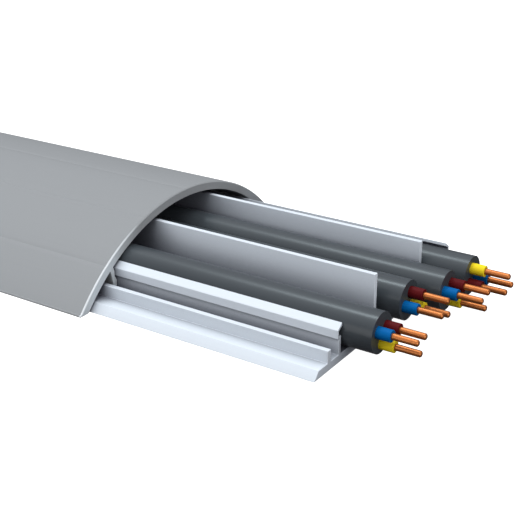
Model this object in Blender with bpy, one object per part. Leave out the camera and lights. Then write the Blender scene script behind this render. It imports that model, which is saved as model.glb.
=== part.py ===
"""Floor cord cover: a channel strip that lies on the floor, the arched cover clipped over it, and the
four mains cables laid in its channels.

X runs along the strip, with the stripped cable ends at +X, Y runs across it, and +Z is up. The origin
is on the floor, in the middle of the whole length and width. Sections are drawn in Y and Z and
extruded along X. Both strips are the same on either side of the middle.
"""

import math

import bmesh
import bpy

MM = 0.001

# Lengths along X
BASE_LENGTH = 1000 * MM
CUT_BACK = 55 * MM  # the cover stops this far short of the base's near end

# Cover section
COVER_WIDTH = 75 * MM
COVER_HEIGHT = 17.8 * MM
COVER_WALL = 2.0 * MM
TOE_STEP = 0.3 * MM  # ledge along each foot
TOE_HEIGHT = 0.4 * MM
GROOVE_PITCH = math.radians(18)  # fine lines along the outside, by angle about the arch's centre
GROOVES = 5
GROOVE_WIDTH = 0.4 * MM
GROOVE_DEPTH = 0.1 * MM
BAY_STEPS = 8  # flat facets between two grooves
FOOT_STEPS = 6  # flat facets inside the arch, from each foot to the clip leg
VAULT_STEPS = 32  # and between the two clip legs
LEG_OUTER_Y = 27.3 * MM  # where the clip leg leaves the inside of the arch
LEG_INNER_Y = 26.3 * MM
HEAD_CLEAR = 0.35 * MM  # between the leg and the base's clip head
HOOK_CLEAR = 0.3 * MM  # between the leg's hook and the base's web
# Down the clip leg's outer side and under its tip, as (y, z)
LEG_BACK = (
    (26.98 * MM, 6.2 * MM),
    (26.75 * MM, 5.2 * MM),
    (26.62 * MM, 4.6 * MM),
    (26.55 * MM, 4.0 * MM),
    (26.5 * MM, 3.2 * MM),
    (26.2 * MM, 2.7 * MM),
    (25.7 * MM, 2.7 * MM),
)
HOOK_LOW = 3.2 * MM  # the hook's inner side, by its lower and upper end
HOOK_HIGH = 4.3 * MM
HOOK_TAPER = 0.05 * MM
HOOK_TOP = 4.95 * MM  # where the hook turns in under the clip head
STEM_LOW = 5.3 * MM  # the leg's inner side above the hook
STEM_HIGH = 6.6 * MM

# Base section
BASE_WIDTH = 68.4 * MM
PLATE = 1.8 * MM
EDGE_SLOPE = 1.65 * MM  # the plate's edge leans in under the cover
RIB_Y = 28.6 * MM
RIB_WALL = 1.2 * MM
RIB_TOP = 4.4 * MM
WEB_Y = 24.6 * MM
WEB_WALL = 0.85 * MM
SHELF_Z = 5.35 * MM  # underside of the clip head that the cover's leg hooks under
SHELF_WALL = 0.4 * MM
HEAD_Y = 25.6 * MM  # front of the clip head
HEAD_TOP = 7.2 * MM
HEAD_WALL = 0.5 * MM
LIP_Y = 24.0 * MM  # free edge of the slanted lip
LIP_TOP = 8.4 * MM
LIP_WALL = 0.35 * MM
LIP_UNDERCUT = 0.2 * MM  # the lip's lower corner stands this far past its top one
CORNER = 0.2 * MM  # broken edges along the tops of the ribs and dividers
DIVIDER_Y = 10.35 * MM
DIVIDER_WALL = 1.1 * MM
DIVIDER_TOP = 13.5 * MM

# Cables: three cores of 1.5 square millimetres in a round jacket
JACKET = 8.6 * MM
CORE = 2.5 * MM
COPPER = 1.38 * MM
CORE_PITCH = 1.95 * MM  # from the middle of the three cores to a core's
CORE_DROP = 0.2 * MM  # the three cores' middle lies this far under the jacket's
LAY_GAP = 0.05 * MM  # between a cable and what it touches
SIDE_GAP = 0.1 * MM  # between two cables side by side
CORE_GAP = 0.2 * MM  # round a core, in its bore
COPPER_GAP = 0.15 * MM  # round a conductor, in its core
CORE_SHOWS = 3.1 * MM  # bare core past the jacket
COPPER_SHOWS = 5.5 * MM  # bare copper past the core
TIP_CHAMFER = 0.25 * MM
JACKET_SIDES, CORE_SIDES, COPPER_SIDES = 40, 20, 16

# Where things come to
WEB_FACE = WEB_Y - WEB_WALL / 2
DIVIDER_FACE = DIVIDER_Y + DIVIDER_WALL / 2
PAIR_PITCH = JACKET + SIDE_GAP
PAIR_MIDDLE = 0.75 * MM  # the two cables in the middle channel lie towards its far side
CABLE_Z = PLATE + LAY_GAP + JACKET / 2
# Each cable: its place across, how far its jacket runs past the base, and where its brown core stands,
# in degrees from +Y towards +Z
CABLES = (
    (-(WEB_FACE - LAY_GAP - JACKET / 2), 6.4 * MM, 29),
    (PAIR_MIDDLE - PAIR_PITCH / 2, 4.2 * MM, 73),
    (PAIR_MIDDLE + PAIR_PITCH / 2, 8.9 * MM, 42),
    (DIVIDER_FACE + LAY_GAP + JACKET / 2, 10.0 * MM, 219),
)
CORE_COLOURS = ("brown", "blue", "yellow")

LONGEST_TIP = max(cable[1] for cable in CABLES) + CORE_SHOWS + COPPER_SHOWS
WHOLE_LENGTH = BASE_LENGTH + LONGEST_TIP
FAR_X = -WHOLE_LENGTH / 2

# The arch is a circle through the tops of both toes and the crown
ARCH_RISE = COVER_HEIGHT - TOE_HEIGHT
ARCH_HALF = COVER_WIDTH / 2 - TOE_STEP
ARCH_RADIUS = (ARCH_HALF**2 + ARCH_RISE**2) / (2 * ARCH_RISE)
ARCH_CENTRE_Z = COVER_HEIGHT - ARCH_RADIUS
INNER_RADIUS = ARCH_RADIUS - COVER_WALL


def clear_scene():
    for obj in list(bpy.data.objects):
        bpy.data.objects.remove(obj, do_unlink=True)


def linear(channel):
    """A screen colour channel, 0 to 255, as linear light."""
    value = channel / 255
    return value / 12.92 if value <= 0.04045 else ((value + 0.055) / 1.055) ** 2.4


def material(name, rgb, roughness, metallic=0.0):
    made = bpy.data.materials.new(name)
    made.use_nodes = True
    shader = made.node_tree.nodes["Principled BSDF"]
    shader.inputs["Base Color"].default_value = (*map(linear, rgb), 1)
    shader.inputs["Roughness"].default_value = roughness
    shader.inputs["Metallic"].default_value = metallic
    made.diffuse_color = (*map(linear, rgb), 1)
    return made


def circle(radius, sides, centre=(0, 0)):
    """A round loop of (y, z) points."""
    turn = 2 * math.pi / sides
    return [
        (centre[0] + radius * math.cos(i * turn), centre[1] + radius * math.sin(i * turn))
        for i in range(sides)
    ]


def mirrored(points):
    """The same points on the -Y side, in the order that carries the outline on."""
    return [(-y, z) for y, z in reversed(points)]


def arch_point(radius, angle):
    """A point on a circle about the arch's centre, by its angle from the crown towards +Y."""
    return radius * math.sin(angle), ARCH_CENTRE_Z + radius * math.cos(angle)


def arch(radius, start, end, steps):
    return [arch_point(radius, start + (end - start) * i / steps) for i in range(steps + 1)]


def cover_outside():
    """The outer face from the -Y toe to the +Y toe, with its fine grooves."""
    edge = math.asin(ARCH_HALF / ARCH_RADIUS)
    half_groove = GROOVE_WIDTH / 2 / ARCH_RADIUS
    points = []
    start = -edge
    for i in range(GROOVES):
        groove = (i - (GROOVES - 1) / 2) * GROOVE_PITCH
        points += arch(ARCH_RADIUS, start, groove - half_groove, BAY_STEPS)
        points.append(arch_point(ARCH_RADIUS - GROOVE_DEPTH, groove))
        start = groove + half_groove
    return points + arch(ARCH_RADIUS, start, edge, BAY_STEPS)


def clip_leg():
    """The +Y leg from its outer root, round its hook, to its inner root. It runs down between the rib
    and the web, and its hook stands under the clip head."""
    stem_y = HEAD_Y + HEAD_CLEAR
    hook_y = WEB_Y + WEB_WALL / 2 + HOOK_CLEAR
    return [
        *LEG_BACK,
        (hook_y + HOOK_TAPER, HOOK_LOW),
        (hook_y, HOOK_HIGH),
        ((hook_y + stem_y) / 2, HOOK_TOP),
        (stem_y, STEM_LOW),
        (stem_y, STEM_HIGH),
    ]


def cover_inside():
    """The inner face from the +Y foot to the -Y foot, with both clip legs."""
    foot = math.acos(-ARCH_CENTRE_Z / INNER_RADIUS)
    outer_root = math.asin(LEG_OUTER_Y / INNER_RADIUS)
    inner_root = math.asin(LEG_INNER_Y / INNER_RADIUS)
    side = arch(INNER_RADIUS, foot, outer_root, FOOT_STEPS) + clip_leg()
    middle = arch(INNER_RADIUS, inner_root, -inner_root, VAULT_STEPS)
    return side + middle + mirrored(side)


def cover_section():
    half = COVER_WIDTH / 2
    toe = [(half, TOE_HEIGHT), (half, 0)]
    return cover_outside() + toe + cover_inside() + mirrored(toe)


def base_side():
    """The +Y half of the base's top, from the plate's edge to the middle channel."""
    half = BASE_WIDTH / 2
    rib_out, rib_in = RIB_Y + RIB_WALL / 2, RIB_Y - RIB_WALL / 2
    web_out, web_in = WEB_Y + WEB_WALL / 2, WEB_FACE
    divider_out, divider_in = DIVIDER_FACE, DIVIDER_Y - DIVIDER_WALL / 2
    return [
        (half, 0),
        (half - EDGE_SLOPE, PLATE),
        (rib_out, PLATE),
        (rib_out, RIB_TOP - CORNER),
        (rib_out - CORNER, RIB_TOP),
        (rib_in + CORNER, RIB_TOP),
        (rib_in, RIB_TOP - CORNER),
        (rib_in, PLATE),
        (web_out, PLATE),
        (web_out, SHELF_Z),
        (HEAD_Y, SHELF_Z),
        (HEAD_Y, HEAD_TOP),
        (LIP_Y, LIP_TOP),
        (LIP_Y - LIP_UNDERCUT, LIP_TOP - LIP_WALL),
        (HEAD_Y - HEAD_WALL, HEAD_TOP - HEAD_WALL / 2),
        (HEAD_Y - HEAD_WALL, SHELF_Z + SHELF_WALL),
        (web_in, SHELF_Z + SHELF_WALL),
        (web_in, PLATE),
        (divider_out, PLATE),
        (divider_out, DIVIDER_TOP - CORNER),
        (divider_out - CORNER, DIVIDER_TOP),
        (divider_in + CORNER, DIVIDER_TOP),
        (divider_in, DIVIDER_TOP - CORNER),
        (divider_in, PLATE),
    ]


def base_section():
    side = base_side()
    return side + mirrored(side)


def extruded(name, loops, length, finish, location, parent=None, tip_chamfer=0.0):
    """A solid of one section: its outline first, then any bores. It runs from the object's origin
    along +X, and a tip chamfer breaks the edge of its near end."""
    bm = bmesh.new()
    edges = []
    for loop in loops:
        verts = [bm.verts.new((0, y, z)) for y, z in loop]
        edges += [bm.edges.new(pair) for pair in zip(verts, verts[1:] + verts[:1])]
    if len(loops) > 1:
        bmesh.ops.triangle_fill(bm, edges=edges, use_beauty=True, use_dissolve=False)
    else:
        bm.faces.new(bm.verts[:])
    far_face = bm.faces[:]
    grown = bmesh.ops.extrude_face_region(bm, geom=far_face)["geom"]
    near = [item for item in grown if isinstance(item, bmesh.types.BMVert)]
    bmesh.ops.translate(bm, verts=near, vec=(length, 0, 0))
    if tip_chamfer:
        rim = [e for e in bm.edges if all(v in near for v in e.verts)]
        bmesh.ops.bevel(bm, geom=rim, offset=tip_chamfer, segments=1, affect="EDGES")
    bmesh.ops.recalc_face_normals(bm, faces=bm.faces)
    mesh = bpy.data.meshes.new(name)
    bm.to_mesh(mesh)
    bm.free()
    mesh.shade_smooth()
    mesh.set_sharp_from_angle(angle=math.radians(30))
    mesh.materials.append(finish)
    obj = bpy.data.objects.new(name, mesh)
    obj.location = location
    obj.parent = parent
    bpy.context.scene.collection.objects.link(obj)
    return obj


def marker(name, location):
    """An empty that holds a cable's pieces together."""
    empty = bpy.data.objects.new(name, None)
    empty.empty_display_size = JACKET
    empty.location = location
    bpy.context.scene.collection.objects.link(empty)
    return empty


def build_cable(number, place, finishes):
    y, proud, brown_degrees = place
    cable = marker(f"cable_{number}", (FAR_X, y, CABLE_Z))
    jacket_length = BASE_LENGTH + proud
    spots = []
    for i in range(len(CORE_COLOURS)):
        angle = math.radians(brown_degrees) + i * 2 * math.pi / len(CORE_COLOURS)
        spots.append((CORE_PITCH * math.cos(angle), CORE_PITCH * math.sin(angle) - CORE_DROP))
    bores = [circle(CORE / 2 + CORE_GAP, CORE_SIDES, spot) for spot in spots]
    outline = circle(JACKET / 2, JACKET_SIDES)
    extruded(f"cable_jacket_{number}", [outline, *bores], jacket_length, finishes["jacket"], (0, 0, 0), cable)
    core_loops = [circle(CORE / 2, CORE_SIDES), circle(COPPER / 2 + COPPER_GAP, COPPER_SIDES)]
    core_length = jacket_length + CORE_SHOWS
    copper_length = core_length + COPPER_SHOWS
    for colour, (core_y, core_z) in zip(CORE_COLOURS, spots):
        spot = (0, core_y, core_z)
        extruded(f"{colour}_core_{number}", core_loops, core_length, finishes[colour], spot, cable)
        extruded(
            f"{colour}_conductor_{number}",
            [circle(COPPER / 2, COPPER_SIDES)],
            copper_length,
            finishes["copper"],
            spot,
            cable,
            TIP_CHAMFER,
        )


def make_finishes():
    return {
        "cover": material("grey_cover", (160, 165, 168), 0.45),
        "base": material("white_base", (238, 241, 246), 0.35),
        "jacket": material("dark_grey_jacket", (78, 83, 88), 0.45),
        "brown": material("brown_insulation", (92, 24, 26), 0.35),
        "blue": material("blue_insulation", (0, 98, 172), 0.35),
        "yellow": material("yellow_insulation", (212, 188, 32), 0.35),
        "copper": material("bare_copper", (208, 118, 64), 0.3, 1.0),
    }


def main():
    clear_scene()
    finishes = make_finishes()
    extruded("base", [base_section()], BASE_LENGTH, finishes["base"], (FAR_X, 0, 0))
    cover_length = BASE_LENGTH - CUT_BACK
    extruded("cover", [cover_section()], cover_length, finishes["cover"], (FAR_X, 0, 0))
    for number, place in enumerate(CABLES, 1):
        build_cable(number, place, finishes)


main()
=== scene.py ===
"""Looks of the floor cord cover: the white base strip, the grey arched cover and the four cables.

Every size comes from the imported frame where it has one, and otherwise from the named values below.
X runs along the strip, Y across it and Z up, in metres.
"""

import math

import bmesh
import bpy
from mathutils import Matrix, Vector


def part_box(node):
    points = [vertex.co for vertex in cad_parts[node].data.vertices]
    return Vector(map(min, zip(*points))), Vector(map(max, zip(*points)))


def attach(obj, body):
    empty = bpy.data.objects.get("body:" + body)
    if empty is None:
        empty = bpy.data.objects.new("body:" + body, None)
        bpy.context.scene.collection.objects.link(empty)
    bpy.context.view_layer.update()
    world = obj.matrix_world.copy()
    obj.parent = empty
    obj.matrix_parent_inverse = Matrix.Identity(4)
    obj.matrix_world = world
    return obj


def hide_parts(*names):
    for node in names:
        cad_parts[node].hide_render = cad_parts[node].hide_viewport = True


MM = 0.001

# Cover section
COVER_WALL = 2.0 * MM
TOE_STEP = 0.3 * MM  # how far a toe stands out past the arch's foot
TOE_HEIGHT = 0.4 * MM
ARCH_SIDES = 240  # facets of the whole circle that the arch is part of
FACET = 2 * math.pi / ARCH_SIDES
GROOVE_FACETS = (-24, -12, 0, 12, 24)  # the grooves' places, in facets from the crown
GROOVE_WIDTH = 0.4 * MM
GROOVE_DEPTH = 0.06 * MM
SPARE = 4 * MM  # left on the arch below the floor until it has its wall
LEG_FACETS = (24, 23)  # the facet inside the arch that a clip leg grows from
# Down the clip leg, its outer and then its inner edge at each station, as (y, z)
LEG_STATIONS = (
    ((26.98 * MM, 6.2 * MM), (25.95 * MM, 6.6 * MM)),
    ((26.75 * MM, 5.2 * MM), (25.95 * MM, 5.3 * MM)),
    ((26.62 * MM, 4.6 * MM), (25.64 * MM, 4.95 * MM)),
    ((26.55 * MM, 4.0 * MM), (25.32 * MM, 4.3 * MM)),
    ((26.5 * MM, 3.2 * MM), (25.38 * MM, 3.2 * MM)),
    ((26.2 * MM, 2.7 * MM), (25.7 * MM, 2.7 * MM)),
)
COVER_ROUNDING = 0.08 * MM
CUT_CHAMFER = 0.25 * MM  # along the outside of the sawn near end

# Base section, each wall as its inner and outer face
PLATE = 1.8 * MM
EDGE_SLOPE = 1.65 * MM  # how far the plate's top edge is drawn in
RIB = (28.0 * MM, 29.2 * MM)
RIB_TOP = 4.4 * MM
WEB = (24.175 * MM, 25.025 * MM)
DIVIDER = (9.8 * MM, 10.9 * MM)
SHELF = (5.35 * MM, 5.75 * MM)  # underside and top of the clip head's shelf
HEAD = (25.1 * MM, 25.6 * MM)
# Up the clip head, its outer and then its inner edge at each station, as (y, z)
HEAD_STATIONS = (
    ((25.6 * MM, 7.2 * MM), (25.1 * MM, 6.95 * MM)),
    ((24.0 * MM, 8.4 * MM), (23.75 * MM, 7.7 * MM)),
)
BASE_ROUNDING = 0.12 * MM

# Cables
COLOURS = ("brown", "blue", "yellow")
CABLES = (1, 2, 3, 4)
JACKET_SIDES, CORE_SIDES, COPPER_SIDES = 96, 48, 32
BORE_GAP = 0.05 * MM  # round a core, in its jacket
COPPER_GAP = 0.03 * MM  # round a conductor, in its core
JACKET_ROUNDING = 0.1 * MM
CORE_ROUNDING = 0.06 * MM
TIP_CHAMFER = 0.25 * MM
TIP_ROUNDING = 0.04 * MM

# Patterns: how many blotches to a millimetre, their detail, and how they stretch along X, Y and Z
MOTTLE = (0.12, 3, (0.25, 1, 1))
STREAKS = (2.2, 2, (0.01, 1, 1))
GRAIN = (3.0, 2, (1, 1, 1))
DRAWN_LINES = (9.0, 2, (0.02, 1, 1))
TARNISH = (0.9, 3, (1, 1, 1))

# Painted shade on the white plastic, darker where walls, cables and the cover stand close: how near a
# thing counts, and the opennesses where the painted shade begins and where it is all there
RECESS_SHADE_REACH = 25 * MM
RECESS_SHADE_OPENNESS = (0.63, 0.08)
FOOT_SHADE_REACH = 4.5 * MM
FOOT_SHADE_OPENNESS = (0.95, 0.45)
FOOT_SHADE_SHARE = 0.55  # of the painted shade colour, on a level face at the foot of a wall
OPENNESS_SAMPLES = 16

# Painted light on the cover's near end, towards the left foot: the cut face paler, and a painted
# highlight along its outer edge. Where each begins, and where it is all there
END_LIGHT_DEPTH = (0.3 * MM, 0.2 * MM)  # in from the sawn end
END_LIGHT_LEFT = (-17 * MM, -28 * MM)  # across, towards the left foot
RIM_HIGHLIGHT_DEPTH = (0.32 * MM, 0.26 * MM)  # in from the end and from the outside, added up

# Photograph's view, from the base's near end
PICTURE = 515
FOCAL_PIXELS = 1076.372
SENSOR_MM = 36
CAMERA_AZIMUTH = math.radians(33.351)
CAMERA_ELEVATION = math.radians(22.869)
CAMERA_FROM_END = Vector((87.890, -186.933, 99.594)) * MM

# Studio
FLOOR_SIZE = 60
FLOOR_GREY = (0.35, 0.35, 0.35, 1)
WHITE = (1, 1, 1, 1)
SKY_TOP = 2.33
SKY_BELOW = 0.08
SKY_HIGH = (0.96, 0.99, 1.0, 1)
SKY_LOW = (1.0, 0.94, 1.04, 1)
# Each lamp: the way it lies from the part, its distance, diameter and power
STREAK_LAMP = (Vector((-0.38, 0.14, 0.90)), 2.0, 0.4, 10)
STREAK_COLOUR = (0.82, 0.95, 1.0)
KEY_LAMP = (Vector((0.15, -0.42, 0.9)), 2.0, 1.2, 7)
SIDE_LAMP = (Vector((-0.35, -0.95, 0.15)), 2.0, 1.2, 8.5)
END_LAMP = (Vector((0.9, -0.3, 0.1)), 2.0, 1.2, 15)
COVER_LAMPS = ((Vector((0.2, -1.0, 0.1)), 2.0, 1.2, 9.5), (Vector((0.1, 1.0, 0.1)), 2.0, 1.2, 5))

# Picking faces and edges
NEAR = 0.02 * MM  # how close a face or edge lies to the place that picks it
SQUARE = 0.9  # the normal of a face that looks along X is at least this much along it
OUTWARD = 0.3  # the normal of the outside by a foot is at least this much along Y
LOWEST = 2 * MM  # the outside's lowest facets lie within this height
LONG = 10 * MM  # an edge along the strip is longer than this
FLAT = math.radians(0.5)  # two faces that meet at less than this are one


# Modelling by hand


def start_piece(name):
    """Names the primitive that was just added and puts its place into its mesh."""
    piece = bpy.context.object
    piece.name = piece.data.name = name
    bpy.ops.object.transform_apply(location=True, rotation=True, scale=True)
    return piece


def add_bar(name, low, high):
    """A block from one corner to the other."""
    bpy.ops.object.select_all(action="DESELECT")
    low, high = Vector(low), Vector(high)
    bpy.ops.mesh.primitive_cube_add(size=1, location=(low + high) / 2, scale=high - low)
    return start_piece(name)


def add_rod(name, ends, centre, radius, sides, caps="NGON"):
    """A round bar along X, between its two ends."""
    bpy.ops.object.select_all(action="DESELECT")
    bpy.ops.mesh.primitive_cylinder_add(
        vertices=sides,
        radius=radius,
        depth=ends[1] - ends[0],
        end_fill_type=caps,
        location=(sum(ends) / 2, *centre),
        rotation=(0, math.pi / 2, 0),
    )
    return start_piece(name)


def edit(on):
    bpy.ops.object.mode_set(mode="EDIT" if on else "OBJECT")


def middle_of(item):
    """Where an edge or a face is."""
    return sum((v.co for v in item.verts), Vector()) / len(item.verts)


def pick(kind, wanted):
    """Selects the edges or faces that pass the test, in edit mode."""
    bpy.ops.mesh.select_mode(type=kind)
    bpy.ops.mesh.select_all(action="DESELECT")
    mesh = bmesh.from_edit_mesh(bpy.context.object.data)
    mesh.normal_update()
    for item in mesh.edges if kind == "EDGE" else mesh.faces:
        if wanted(item):
            item.select_set(True)
    bmesh.update_edit_mesh(bpy.context.object.data)


def cut_all(at, normal, **clear):
    """Cuts the whole mesh along a plane."""
    bpy.ops.mesh.select_all(action="SELECT")
    bpy.ops.mesh.bisect(plane_co=at, plane_no=normal, **clear)


def lies_at(item, place, reach=NEAR):
    """Whether an edge or face is at this (y, z) place of the section."""
    return (middle_of(item).yz - Vector(place)).length < reach


def along_x(edge):
    a, b = (v.co for v in edge.verts)
    return abs(a.x - b.x) > LONG


def move_edge(start, end, reach=NEAR):
    """Moves the lengthwise edge at one (y, z) place of the section to another."""
    pick("EDGE", lambda e: along_x(e) and lies_at(e, start, reach))
    bpy.ops.transform.translate(value=(0, end[0] - start[0], end[1] - start[1]))


def extrude_strip(edges, ends):
    """Extrudes the lengthwise face between two edges, and takes each of the edges to its new place."""
    middle = (Vector(edges[0]) + Vector(edges[1])) / 2
    step = (Vector(ends[0]) + Vector(ends[1])) / 2 - middle
    pick("FACE", lambda f: lies_at(f, middle))
    bpy.ops.mesh.extrude_region_move(TRANSFORM_OT_translate={"value": (0, *step)})
    for edge, end in zip(edges, ends):
        move_edge(Vector(edge) + step, end)


def draw_out(edges, stations, side):
    """Extrudes a strip from station to station. Side is 1 for +Y and -1 for -Y."""
    for ends in stations:
        extrude_strip(
            [(side * y, z) for y, z in edges],
            [(side * y, z) for y, z in ends],
        )
        edges = ends


def join_flats():
    """Joins the faces that lie flat with each other, so that no seam crowds the rounded edges."""
    bpy.ops.mesh.select_all(action="SELECT")
    bpy.ops.mesh.dissolve_limited(angle_limit=FLAT)


def modify(piece, kind, **settings):
    """Adds a modifier and applies it."""
    bpy.ops.object.select_all(action="DESELECT")
    piece.select_set(True)
    bpy.context.view_layer.objects.active = piece
    modifier = piece.modifiers.new(kind.title(), kind)
    for name, value in settings.items():
        setattr(modifier, name, value)
    bpy.ops.object.modifier_apply(modifier=modifier.name)


def round_edges(piece, width, segments=3, angle=30):
    """Rounds the sharp edges and keeps the flats flat in the shading."""
    piece.data.shade_smooth()
    modify(
        piece,
        "BEVEL",
        width=width,
        segments=segments,
        limit_method="ANGLE",
        angle_limit=math.radians(angle),
        harden_normals=True,
    )


# Base strip


def build_base():
    """The plate, with its walls and clip heads drawn up out of its top."""
    low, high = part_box("base")
    base = add_bar("base_strip", low, (high.x, high.y, PLATE))
    edit(True)
    for side in (1, -1):
        for y in (*RIB, *WEB, *DIVIDER):
            cut_all((0, side * y, 0), (0, 1, 0))
        move_edge((side * high.y, PLATE), (side * (high.y - EDGE_SLOPE), PLATE))
        for wall, top in ((RIB, RIB_TOP), (DIVIDER, high.z)):
            draw_out([(y, PLATE) for y in wall], [[(y, top) for y in wall]], side)
        shape_clip(side)
    join_flats()
    edit(False)
    round_edges(base, BASE_ROUNDING)
    return base


def shape_clip(side):
    """The web that stands behind the rib, its shelf, and the thin head with its slanted lip."""
    draw_out([(y, PLATE) for y in WEB], [[(y, z) for y in WEB] for z in SHELF], side)
    draw_out([(WEB[1], z) for z in SHELF], [[(y, z) for z in SHELF] for y in HEAD], side)
    head_inner, head_outer = HEAD
    draw_out([(head_outer, SHELF[1]), (head_inner, SHELF[1])], HEAD_STATIONS, side)


# Arched cover


class Arch:
    """The circle that the cover's section follows, from its half width and its height."""

    def __init__(self, high):
        self.foot_y = high.y - TOE_STEP
        rise = high.z - TOE_HEIGHT
        self.radius = (self.foot_y**2 + rise**2) / (2 * rise)
        self.centre_z = high.z - self.radius

    def place(self, facets, depth=0.0):
        """The (y, z) place so many facets from the crown, that deep below the outside."""
        angle = facets * FACET
        radius = self.radius - depth
        return radius * math.sin(angle), self.centre_z + radius * math.cos(angle)


def chamfer_end(arch, end_x):
    """Takes the sharp edge off the outside of the sawn end, down to the toes."""
    axis = Vector((0, arch.centre_z))

    def on_rim(point):
        outside = (point.yz - axis).length > arch.radius - NEAR
        return outside and point.x > end_x - NEAR and point.z > TOE_HEIGHT

    pick("EDGE", lambda e: all(on_rim(v.co) for v in e.verts))
    bpy.ops.mesh.bevel(offset=CUT_CHAMFER, segments=1, affect="EDGES")


def cut_grooves(arch):
    """Fine V grooves along the outside."""
    for facets in GROOVE_FACETS:
        top = arch.place(facets)
        pick("EDGE", lambda e, top=top: along_x(e) and lies_at(e, top))
        bpy.ops.mesh.bevel(offset=GROOVE_WIDTH / 2, segments=2, profile=0.5, affect="EDGES")
        move_edge(top, arch.place(facets, GROOVE_DEPTH), reach=GROOVE_WIDTH / 4)


def shape_toes(arch, half_width):
    """A small upright ledge along each foot."""
    foot_y = arch.foot_y
    foot_low = math.sqrt(arch.radius**2 - arch.centre_z**2)
    for side in (1, -1):
        pick("FACE", lambda f, side=side: f.normal.y * side > OUTWARD and middle_of(f).z < LOWEST)
        bpy.ops.mesh.bisect(plane_co=(0, 0, TOE_HEIGHT), plane_no=(0, 0, 1))
        move_edge((side * foot_low, 0), (side * foot_y, 0))
        edges = ((foot_y, TOE_HEIGHT), (foot_y, 0))
        draw_out(edges, [[(half_width, z) for _, z in edges]], side)


def build_cover():
    """An open tube along the strip, cut down to its arch, given its wall and then its details."""
    low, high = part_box("cover")
    arch = Arch(high)
    ends, centre = (low.x, high.x), (0, arch.centre_z)
    cover = add_rod("cover_shell", ends, centre, arch.radius, ARCH_SIDES, caps="NOTHING")
    edit(True)
    cut_all((0, 0, -SPARE), (0, 0, 1), clear_inner=True)
    edit(False)
    modify(cover, "SOLIDIFY", thickness=COVER_WALL, offset=-1, use_even_offset=True)
    edit(True)
    cut_all((0, 0, 0), (0, 0, 1), clear_inner=True, use_fill=True)
    chamfer_end(arch, high.x)
    cut_grooves(arch)
    shape_toes(arch, high.y)
    roots = [arch.place(facets, COVER_WALL) for facets in LEG_FACETS]
    for side in (1, -1):
        draw_out(roots, LEG_STATIONS, side)
    edit(False)
    round_edges(cover, COVER_ROUNDING)
    return cover


# Cables


def size_of(node):
    """The ends, centre and radius of a round node."""
    low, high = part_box(node)
    return (low.x, high.x), ((low.y + high.y) / 2, (low.z + high.z) / 2), (high.y - low.y) / 2


def build_jacket(number):
    """The outer sheath, bored for its three cores."""
    ends, centre, radius = size_of(f"cable_jacket_{number}")
    jacket = add_rod(f"sheath_{number}", ends, centre, radius, JACKET_SIDES)
    for colour in COLOURS:
        core_ends, core_centre, core_radius = size_of(f"{colour}_core_{number}")
        past_both = (core_ends[0] - MM, core_ends[1] + MM)
        drill = add_rod("drill", past_both, core_centre, core_radius + BORE_GAP, CORE_SIDES)
        modify(jacket, "BOOLEAN", operation="DIFFERENCE", object=drill)
        bpy.data.objects.remove(drill)
    round_edges(jacket, JACKET_ROUNDING)
    return jacket


def build_core(node, name, conductor):
    """A core's insulation: a rod bored through for its conductor."""
    ends, centre, radius = size_of(node)
    wall = radius - size_of(conductor)[2] - COPPER_GAP
    core = add_rod(name, ends, centre, radius, CORE_SIDES)
    edit(True)
    pick("FACE", lambda f: abs(f.normal.x) > SQUARE)
    bpy.ops.mesh.inset(thickness=wall, use_individual=True)
    bpy.ops.mesh.bridge_edge_loops()
    edit(False)
    round_edges(core, CORE_ROUNDING)
    return core


def build_conductor(node, name):
    """A copper wire with a chamfered tip."""
    ends, centre, radius = size_of(node)
    wire = add_rod(name, ends, centre, radius, COPPER_SIDES)
    edit(True)
    pick("FACE", lambda f: f.normal.x > SQUARE)
    bpy.ops.mesh.bevel(offset=TIP_CHAMFER, segments=1, affect="EDGES")
    edit(False)
    round_edges(wire, TIP_ROUNDING, segments=2)
    return wire


# Surface finishes


class Shade:
    """One output in a material's nodes. Arithmetic on it adds Math nodes."""

    def __init__(self, finish, socket):
        self.finish, self.socket = finish, socket

    def maths(self, operation, *values):
        return self.finish.add("ShaderNodeMath", {"operation": operation}, dict(enumerate(values)))

    def __add__(self, other):
        return self.maths("ADD", self, other)

    __radd__ = __add__

    def __sub__(self, other):
        return self.maths("SUBTRACT", self, other)

    def __rsub__(self, other):
        return self.maths("SUBTRACT", other, self)

    def __mul__(self, other):
        return self.maths("MULTIPLY", self, other)

    __rmul__ = __mul__

    def clipped(self):
        """This value, kept between 0 and 1."""
        return self.finish.add("ShaderNodeClamp", {}, {0: self})

    def between(self, start, end):
        """How far this value has come from start towards end, from 0 to 1."""
        return ((self - start) * (1 / (end - start))).clipped()


class Nodes:
    """The nodes of a material or of the world, with the place that they work from."""

    def __init__(self, owner, shader, place):
        owner.use_nodes = True
        self.tree = owner.node_tree
        self.shader = self.tree.nodes[shader]
        self.place = self.add("ShaderNodeTexCoord", {}, {}, output=place)

    def plug(self, socket, value):
        if isinstance(value, Shade):
            self.tree.links.new(value.socket, socket)
        else:
            socket.default_value = value

    def set(self, name, value):
        """Sets one of the shader's own sockets."""
        self.plug(self.shader.inputs[name], value)

    def add(self, kind, settings, sockets, output=0):
        """Adds a node: its settings first, then its sockets' values or links."""
        node = self.tree.nodes.new(kind)
        for name, value in settings.items():
            setattr(node, name, value)
        for name, value in sockets.items():
            self.plug(node.inputs[name], value)
        return Shade(self, node.outputs[output])

    def mix(self, share, first, second):
        """One colour blended into another."""
        sockets = {0: share, 6: first, 7: second}
        return self.add("ShaderNodeMix", {"data_type": "RGBA"}, sockets, output=2)

    def along(self, axis):
        """The place's X, Y or Z, as 0, 1 or 2."""
        return self.add("ShaderNodeSeparateXYZ", {}, {0: self.place}, output=axis)


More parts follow.
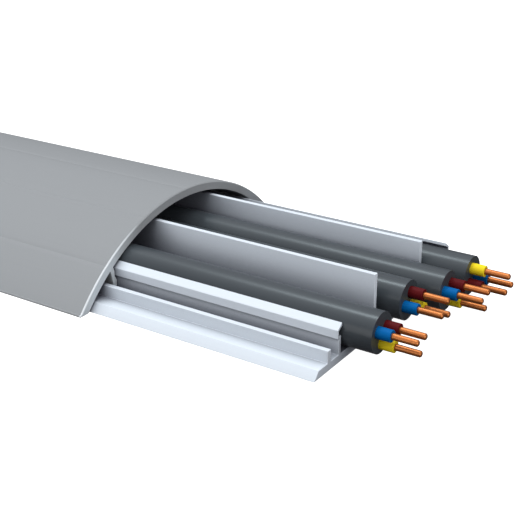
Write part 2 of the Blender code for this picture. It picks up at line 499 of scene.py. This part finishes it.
class Finish(Nodes):
    """A material whose look is worked out by nodes. Its skin is its base colour so far."""

    def __init__(self, name, skin, **sockets):
        self.material = bpy.data.materials.new(name)
        super().__init__(self.material, "Principled BSDF", "Object")
        self.skin = skin
        self.set("Base Color", skin)
        for socket, value in sockets.items():
            self.set(socket, value)

    def vector_maths(self, operation, *vectors, output=0):
        """A Vector Math node on one or two places."""
        settings = {"operation": operation}
        return self.add("ShaderNodeVectorMath", settings, dict(enumerate(vectors)), output=output)

    def pattern(self, per_mm, detail, stretch):
        """Noise from 0 to 1, with so many blotches to a millimetre."""
        place = self.vector_maths("MULTIPLY", self.place, Vector(stretch) * per_mm / MM)
        return self.add("ShaderNodeTexNoise", {}, {"Vector": place, "Scale": 1.0, "Detail": detail})

    def off_axis(self, height):
        """How far the surface lies from a line along X at that height."""
        lifted = self.vector_maths("SUBTRACT", self.place, (0, 0, height))
        across = self.vector_maths("MULTIPLY", lifted, (0, 1, 1))
        return self.vector_maths("LENGTH", across, output="Value")

    def openness(self, reach):
        """How open the surface is: 1 on an outer face, towards 0 where walls stand close."""
        settings = {"samples": OPENNESS_SAMPLES, "only_local": False}
        return self.add("ShaderNodeAmbientOcclusion", settings, {"Distance": reach}, output="AO")

    def facing_up(self):
        """1 on a level face that looks up, and 0 on an upright one."""
        normal = self.add("ShaderNodeNewGeometry", {}, {}, output="Normal")
        return self.add("ShaderNodeSeparateXYZ", {}, {0: normal}, output="Z").clipped()

    def tint(self, share, shade):
        """Lays a colour over the skin."""
        self.skin = self.mix(share, self.skin, shade)
        self.set("Base Color", self.skin)

    def bump(self, height, depth):
        """Raises the surface by height, 0 to 1, times depth in metres."""
        sockets = {"Height": height, "Strength": 1.0, "Distance": depth}
        self.set("Normal", self.add("ShaderNodeBump", {}, sockets))


def linear(channel):
    value = channel / 255
    return value / 12.92 if value <= 0.04045 else ((value + 0.055) / 1.055) ** 2.4


def colour(red, green, blue):
    """A screen colour as linear light."""
    return (*map(linear, (red, green, blue)), 1)


def plastic(name, light, dark, roughness, shine, grain, lines):
    """Extruded plastic: a faint mottle, a fine grain, and the die's lines along its length.

    Shine is how strongly it mirrors, and grain and lines are depths in metres.
    """
    finish = Finish(name, dark)
    finish.set("Specular IOR Level", shine)
    mottle = finish.pattern(*MOTTLE)
    streaks = finish.pattern(*STREAKS)
    finish.tint(mottle * 0.6 + streaks * 0.4, light)
    finish.set("Roughness", (mottle - 0.5) * 0.12 + (streaks - 0.5) * 0.08 + roughness)
    finish.bump(finish.pattern(*GRAIN) * (grain / lines) + streaks, lines)
    return finish


def cover_plastic():
    """Grey plastic, with painted light on its near end: the cut face paler towards the left foot, and
    a painted highlight along its outer edge.
    """
    finish = plastic(
        "grey_plastic",
        light=colour(139, 142, 144),
        dark=colour(135, 138, 140),
        roughness=0.6,
        shine=0.1,
        grain=0.002 * MM,
        lines=0.003 * MM,
    )
    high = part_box("cover")[1]
    arch = Arch(high)
    from_end = high.x - finish.along(0)
    from_outside = arch.radius - finish.off_axis(arch.centre_z)
    left = finish.along(1).between(*END_LIGHT_LEFT)
    # Painted light: the cut face paler towards the left foot, then a painted highlight along its outer
    # edge
    finish.tint(from_end.between(*END_LIGHT_DEPTH) * left, colour(184, 191, 195))
    finish.tint((from_end + from_outside).between(*RIM_HIGHLIGHT_DEPTH) * left, colour(206, 211, 214))
    return finish.material


def base_plastic():
    """White plastic, with painted shade in the channels and near the cables and the cover, and a
    little on level faces at the foot of each wall.
    """
    finish = plastic(
        "white_plastic",
        light=colour(213, 221, 228),
        dark=colour(208, 216, 224),
        roughness=0.5,
        shine=0.2,
        grain=0.002 * MM,
        lines=0.003 * MM,
    )
    # The painted shade's colour, laid on where walls, cables and the cover close the surface in
    painted_shade_colour = colour(90, 92, 102)
    # Painted shade: a contact shadow on level faces at the foot of each wall
    foot_shade_share = finish.openness(FOOT_SHADE_REACH).between(*FOOT_SHADE_OPENNESS) * finish.facing_up()
    finish.tint(foot_shade_share * FOOT_SHADE_SHARE, painted_shade_colour)
    finish.tint(finish.openness(RECESS_SHADE_REACH).between(*RECESS_SHADE_OPENNESS), painted_shade_colour)
    return finish.material


def jacket_plastic():
    """Dark grey, smooth and a little glossy."""
    return plastic(
        "sheath_plastic",
        light=colour(60, 65, 69),
        dark=colour(55, 60, 64),
        roughness=0.3,
        shine=0.22,
        grain=0.0005 * MM,
        lines=0.0006 * MM,
    ).material


def core_plastic(name, light, dark):
    """A core's insulation, in its own colour."""
    grain, lines = 0.002 * MM, 0.004 * MM
    return plastic(name, light, dark, roughness=0.5, shine=0.05, grain=grain, lines=lines).material


def copper():
    """Drawn copper wire: lines along it, and a faint darker tarnish in blotches."""
    finish = Finish("bright_copper", colour(184, 112, 59), Metallic=0.75)
    lines = finish.pattern(*DRAWN_LINES)
    tarnish = finish.pattern(*TARNISH)
    finish.tint(tarnish, colour(162, 93, 46))
    finish.set("Roughness", lines * 0.08 + tarnish * 0.08 + 0.32)
    finish.bump(lines, 0.002 * MM)
    return finish.material


# Floor, light and camera


def add_floor():
    """A plain white floor.

    It throws no light up and shows in no gloss, so that sides and undersides keep their own shade.
    """
    bpy.ops.object.select_all(action="DESELECT")
    bpy.ops.mesh.primitive_plane_add(size=FLOOR_SIZE)
    floor = start_piece("floor")
    white = Finish("floor_white", FLOOR_GREY, Roughness=0.9)
    white.set("Emission Color", WHITE)
    white.set("Emission Strength", 1.0)
    floor.data.materials.append(white.material)
    floor.visible_diffuse = False
    floor.visible_glossy = False


def light_studio():
    """A soft sky, brightest overhead and dark below the horizon."""
    world = bpy.data.worlds.new("studio")
    sky = Nodes(world, "Background", "Generated")
    up = sky.along(2).clipped()
    sky.set("Color", sky.mix(up, SKY_LOW, SKY_HIGH))
    sky.set("Strength", up * up * (SKY_TOP - SKY_BELOW) + SKY_BELOW)
    bpy.context.scene.world = world
    bpy.context.scene.view_settings.view_transform = "Standard"


def add_lamp(name, towards, distance, diameter, watts):
    """A round lamp that shines on the part's near end."""
    lamp = bpy.data.lights.new(name, "AREA")
    lamp.shape = "DISK"
    lamp.size = diameter
    lamp.energy = watts
    light = bpy.data.objects.new(name, lamp)
    light.location = Vector((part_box("base")[1].x, 0, 0)) + towards.normalized() * distance
    light.rotation_euler = towards.to_track_quat("Z", "Y").to_euler()
    bpy.context.scene.collection.objects.link(light)
    return light


def light_only(light, pieces):
    """Keeps a lamp's light to some of the pieces."""
    lit = bpy.data.collections.new(f"{light.name}_lights")
    for piece in pieces:
        lit.objects.link(piece)
    light.light_linking.receiver_collection = lit


def add_camera():
    camera = bpy.data.objects.new("camera", bpy.data.cameras.new("camera"))
    bpy.context.scene.collection.objects.link(camera)
    camera.data.sensor_width = SENSOR_MM
    camera.data.lens = SENSOR_MM * FOCAL_PIXELS / PICTURE
    camera.data.clip_start = 10 * MM
    camera.location = Vector((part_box("base")[1].x, 0, 0)) + CAMERA_FROM_END
    camera.rotation_euler = (math.pi / 2 - CAMERA_ELEVATION, 0, CAMERA_AZIMUTH)
    bpy.context.scene.camera = camera


def dress(piece, node, material):
    """Gives the piece its finish and lets it stand for its node in the frame."""
    piece.data.materials.clear()
    piece.data.materials.append(material)
    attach(piece, "root")
    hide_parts(node)
    return piece


def dress_cable(number, sheath, insulation, metal):
    pieces = [dress(build_jacket(number), f"cable_jacket_{number}", sheath)]
    for name in COLOURS:
        core, conductor = f"{name}_core_{number}", f"{name}_conductor_{number}"
        sleeve = build_core(core, f"{name}_insulation_{number}", conductor)
        pieces.append(dress(sleeve, core, insulation[name]))
        wire = build_conductor(conductor, f"{name}_wire_{number}")
        pieces.append(dress(wire, conductor, metal))
    return pieces


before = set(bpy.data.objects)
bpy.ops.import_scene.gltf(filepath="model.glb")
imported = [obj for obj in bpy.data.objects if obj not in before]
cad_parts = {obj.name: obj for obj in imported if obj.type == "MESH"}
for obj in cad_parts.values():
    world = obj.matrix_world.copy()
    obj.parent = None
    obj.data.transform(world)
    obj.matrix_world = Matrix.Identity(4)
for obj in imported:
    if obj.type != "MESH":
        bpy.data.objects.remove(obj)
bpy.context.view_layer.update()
add_camera()
base = dress(build_base(), "base", base_plastic())
cover = dress(build_cover(), "cover", cover_plastic())
insulation = {
    "brown": core_plastic("brown_insulation", colour(90, 19, 22), colour(72, 12, 15)),
    "blue": core_plastic("blue_insulation", colour(0, 93, 156), colour(0, 80, 140)),
    "yellow": core_plastic("yellow_insulation", colour(232, 208, 40), colour(214, 188, 30)),
}
sheath, metal = jacket_plastic(), copper()
cables = []
for number in CABLES:
    cables += dress_cable(number, sheath, insulation, metal)
add_floor()
light_studio()
streak_lamp = add_lamp("streak_lamp", *STREAK_LAMP)
streak_lamp.data.color = STREAK_COLOUR
light_only(streak_lamp, cables)
add_lamp("key_lamp", *KEY_LAMP)
add_lamp("side_lamp", *SIDE_LAMP)
add_lamp("end_lamp", *END_LAMP)
for number, lamp in enumerate(COVER_LAMPS, 1):
    light_only(add_lamp(f"cover_lamp_{number}", *lamp), [cover])
